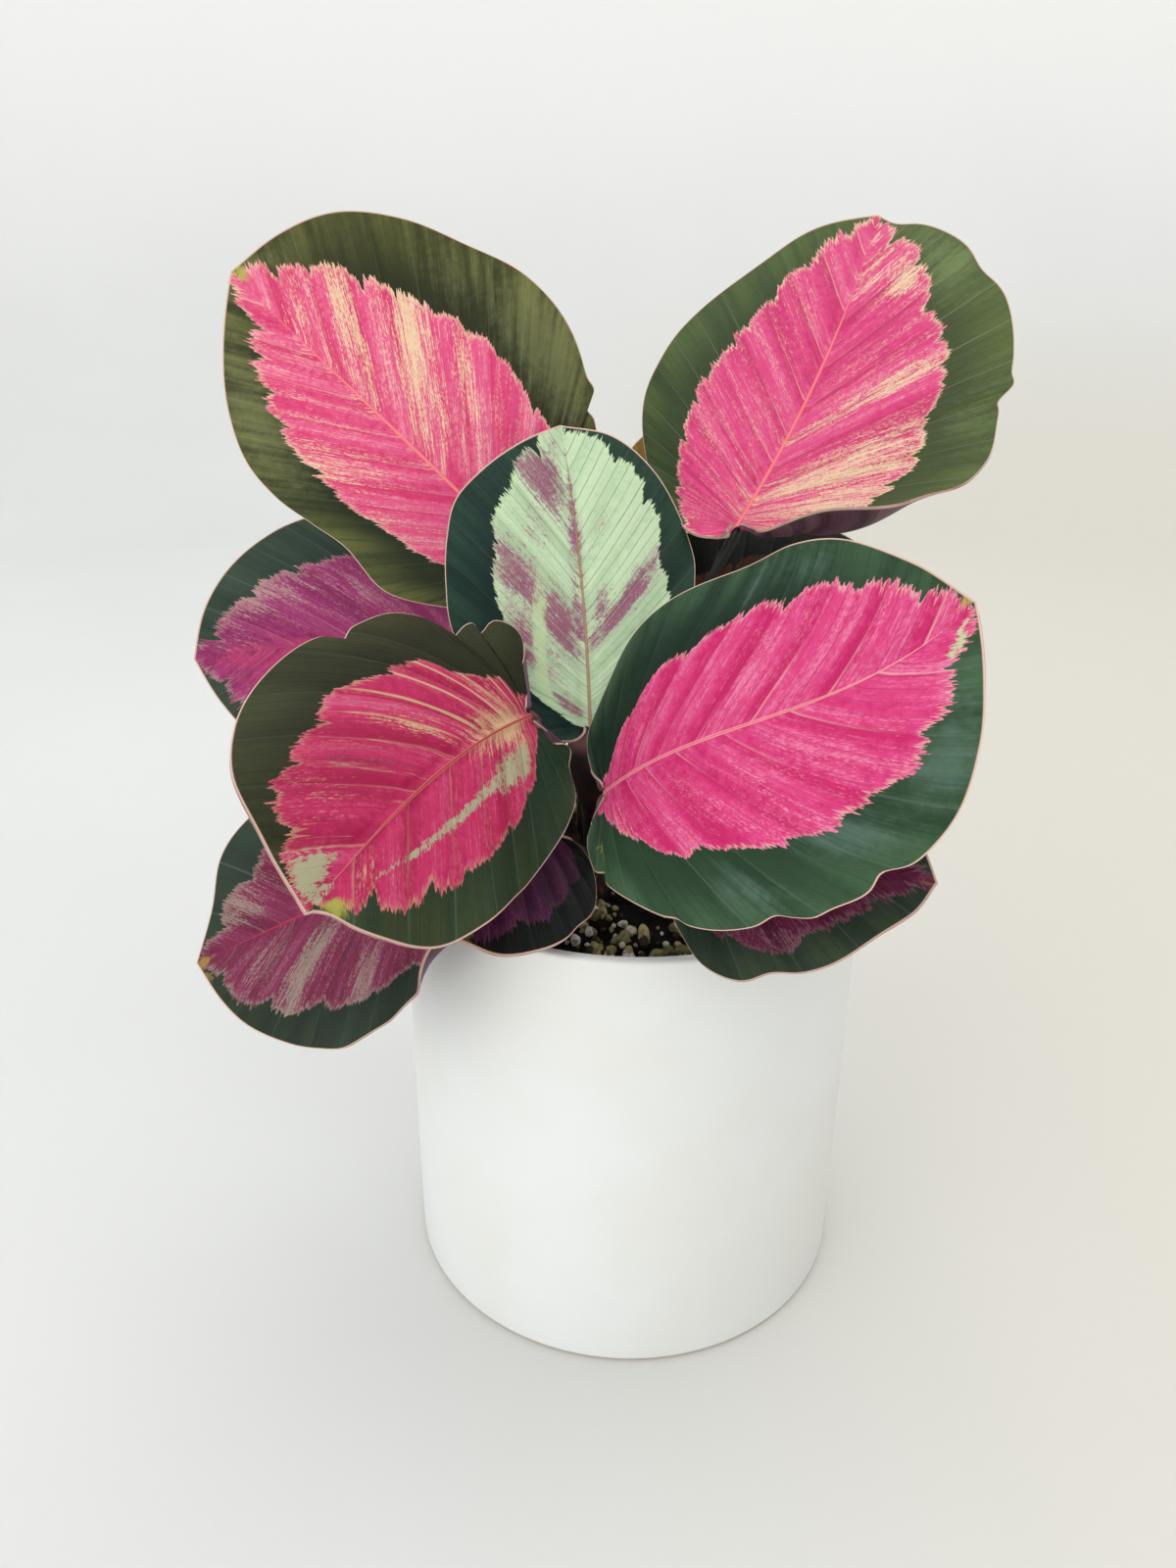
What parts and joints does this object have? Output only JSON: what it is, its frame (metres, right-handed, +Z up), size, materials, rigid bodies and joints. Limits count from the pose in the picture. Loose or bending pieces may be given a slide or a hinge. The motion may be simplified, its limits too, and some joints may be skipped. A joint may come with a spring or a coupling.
{
  "type": "potted house plant",
  "caption": "Potted calathea: broad oval leaves with pink feathered centres and green edges on short stalks, in a plain white cylinder pot.",
  "frame": {"origin": "centre of the pot's flat foot, on the surface that it stands on", "axes": "+Z up, the pot's own axis; the front of the plant faces -Y; +X to the right as seen from the front"},
  "size_m": [0.2826, 0.2574, 0.343],
  "materials": {
    "pot": "smooth satin white",
    "soil": "rough, moist, with pale grains",
    "stalk": "smooth, slightly waxy",
    "blade_upper_left": "waxy leaf, patterned above, purple below",
    "blade_upper_right": "waxy leaf, patterned above, purple below",
    "blade_centre": "waxy leaf, patterned above, purple below",
    "blade_front_right": "waxy leaf, patterned above, purple below",
    "blade_front_left": "waxy leaf, patterned above, purple below",
    "blade_far_left": "waxy leaf, patterned above, purple below",
    "blade_low_left": "waxy leaf, patterned above, purple below",
    "blade_small_dark": "waxy leaf, patterned above, purple below",
    "blade_low_right": "waxy leaf, patterned above, purple below",
    "blade_shaded": "waxy leaf, patterned above, purple below",
    "blade_yellowed": "waxy leaf, patterned above, purple below"
  },
  "bodies": {
    "root": {"pot": "pot", "soil": "soil", "leaf_stalk_upper_left": "stalk", "leaf_blade_upper_left": "blade_upper_left", "leaf_stalk_upper_right": "stalk", "leaf_blade_upper_right": "blade_upper_right", "leaf_stalk_centre": "stalk", "leaf_blade_centre": "blade_centre", "leaf_stalk_front_right": "stalk", "leaf_blade_front_right": "blade_front_right", "leaf_stalk_front_left": "stalk", "leaf_blade_front_left": "blade_front_left", "leaf_stalk_far_left": "stalk", "leaf_blade_far_left": "blade_far_left", "leaf_stalk_low_left": "stalk", "leaf_blade_low_left": "blade_low_left", "leaf_stalk_small_dark": "stalk", "leaf_blade_small_dark": "blade_small_dark", "leaf_stalk_low_right": "stalk", "leaf_blade_low_right": "blade_low_right", "leaf_stalk_shaded": "stalk", "leaf_blade_shaded": "blade_shaded", "leaf_stalk_yellowed": "stalk", "leaf_blade_yellowed": "blade_yellowed"}
  },
  "joints": []
}
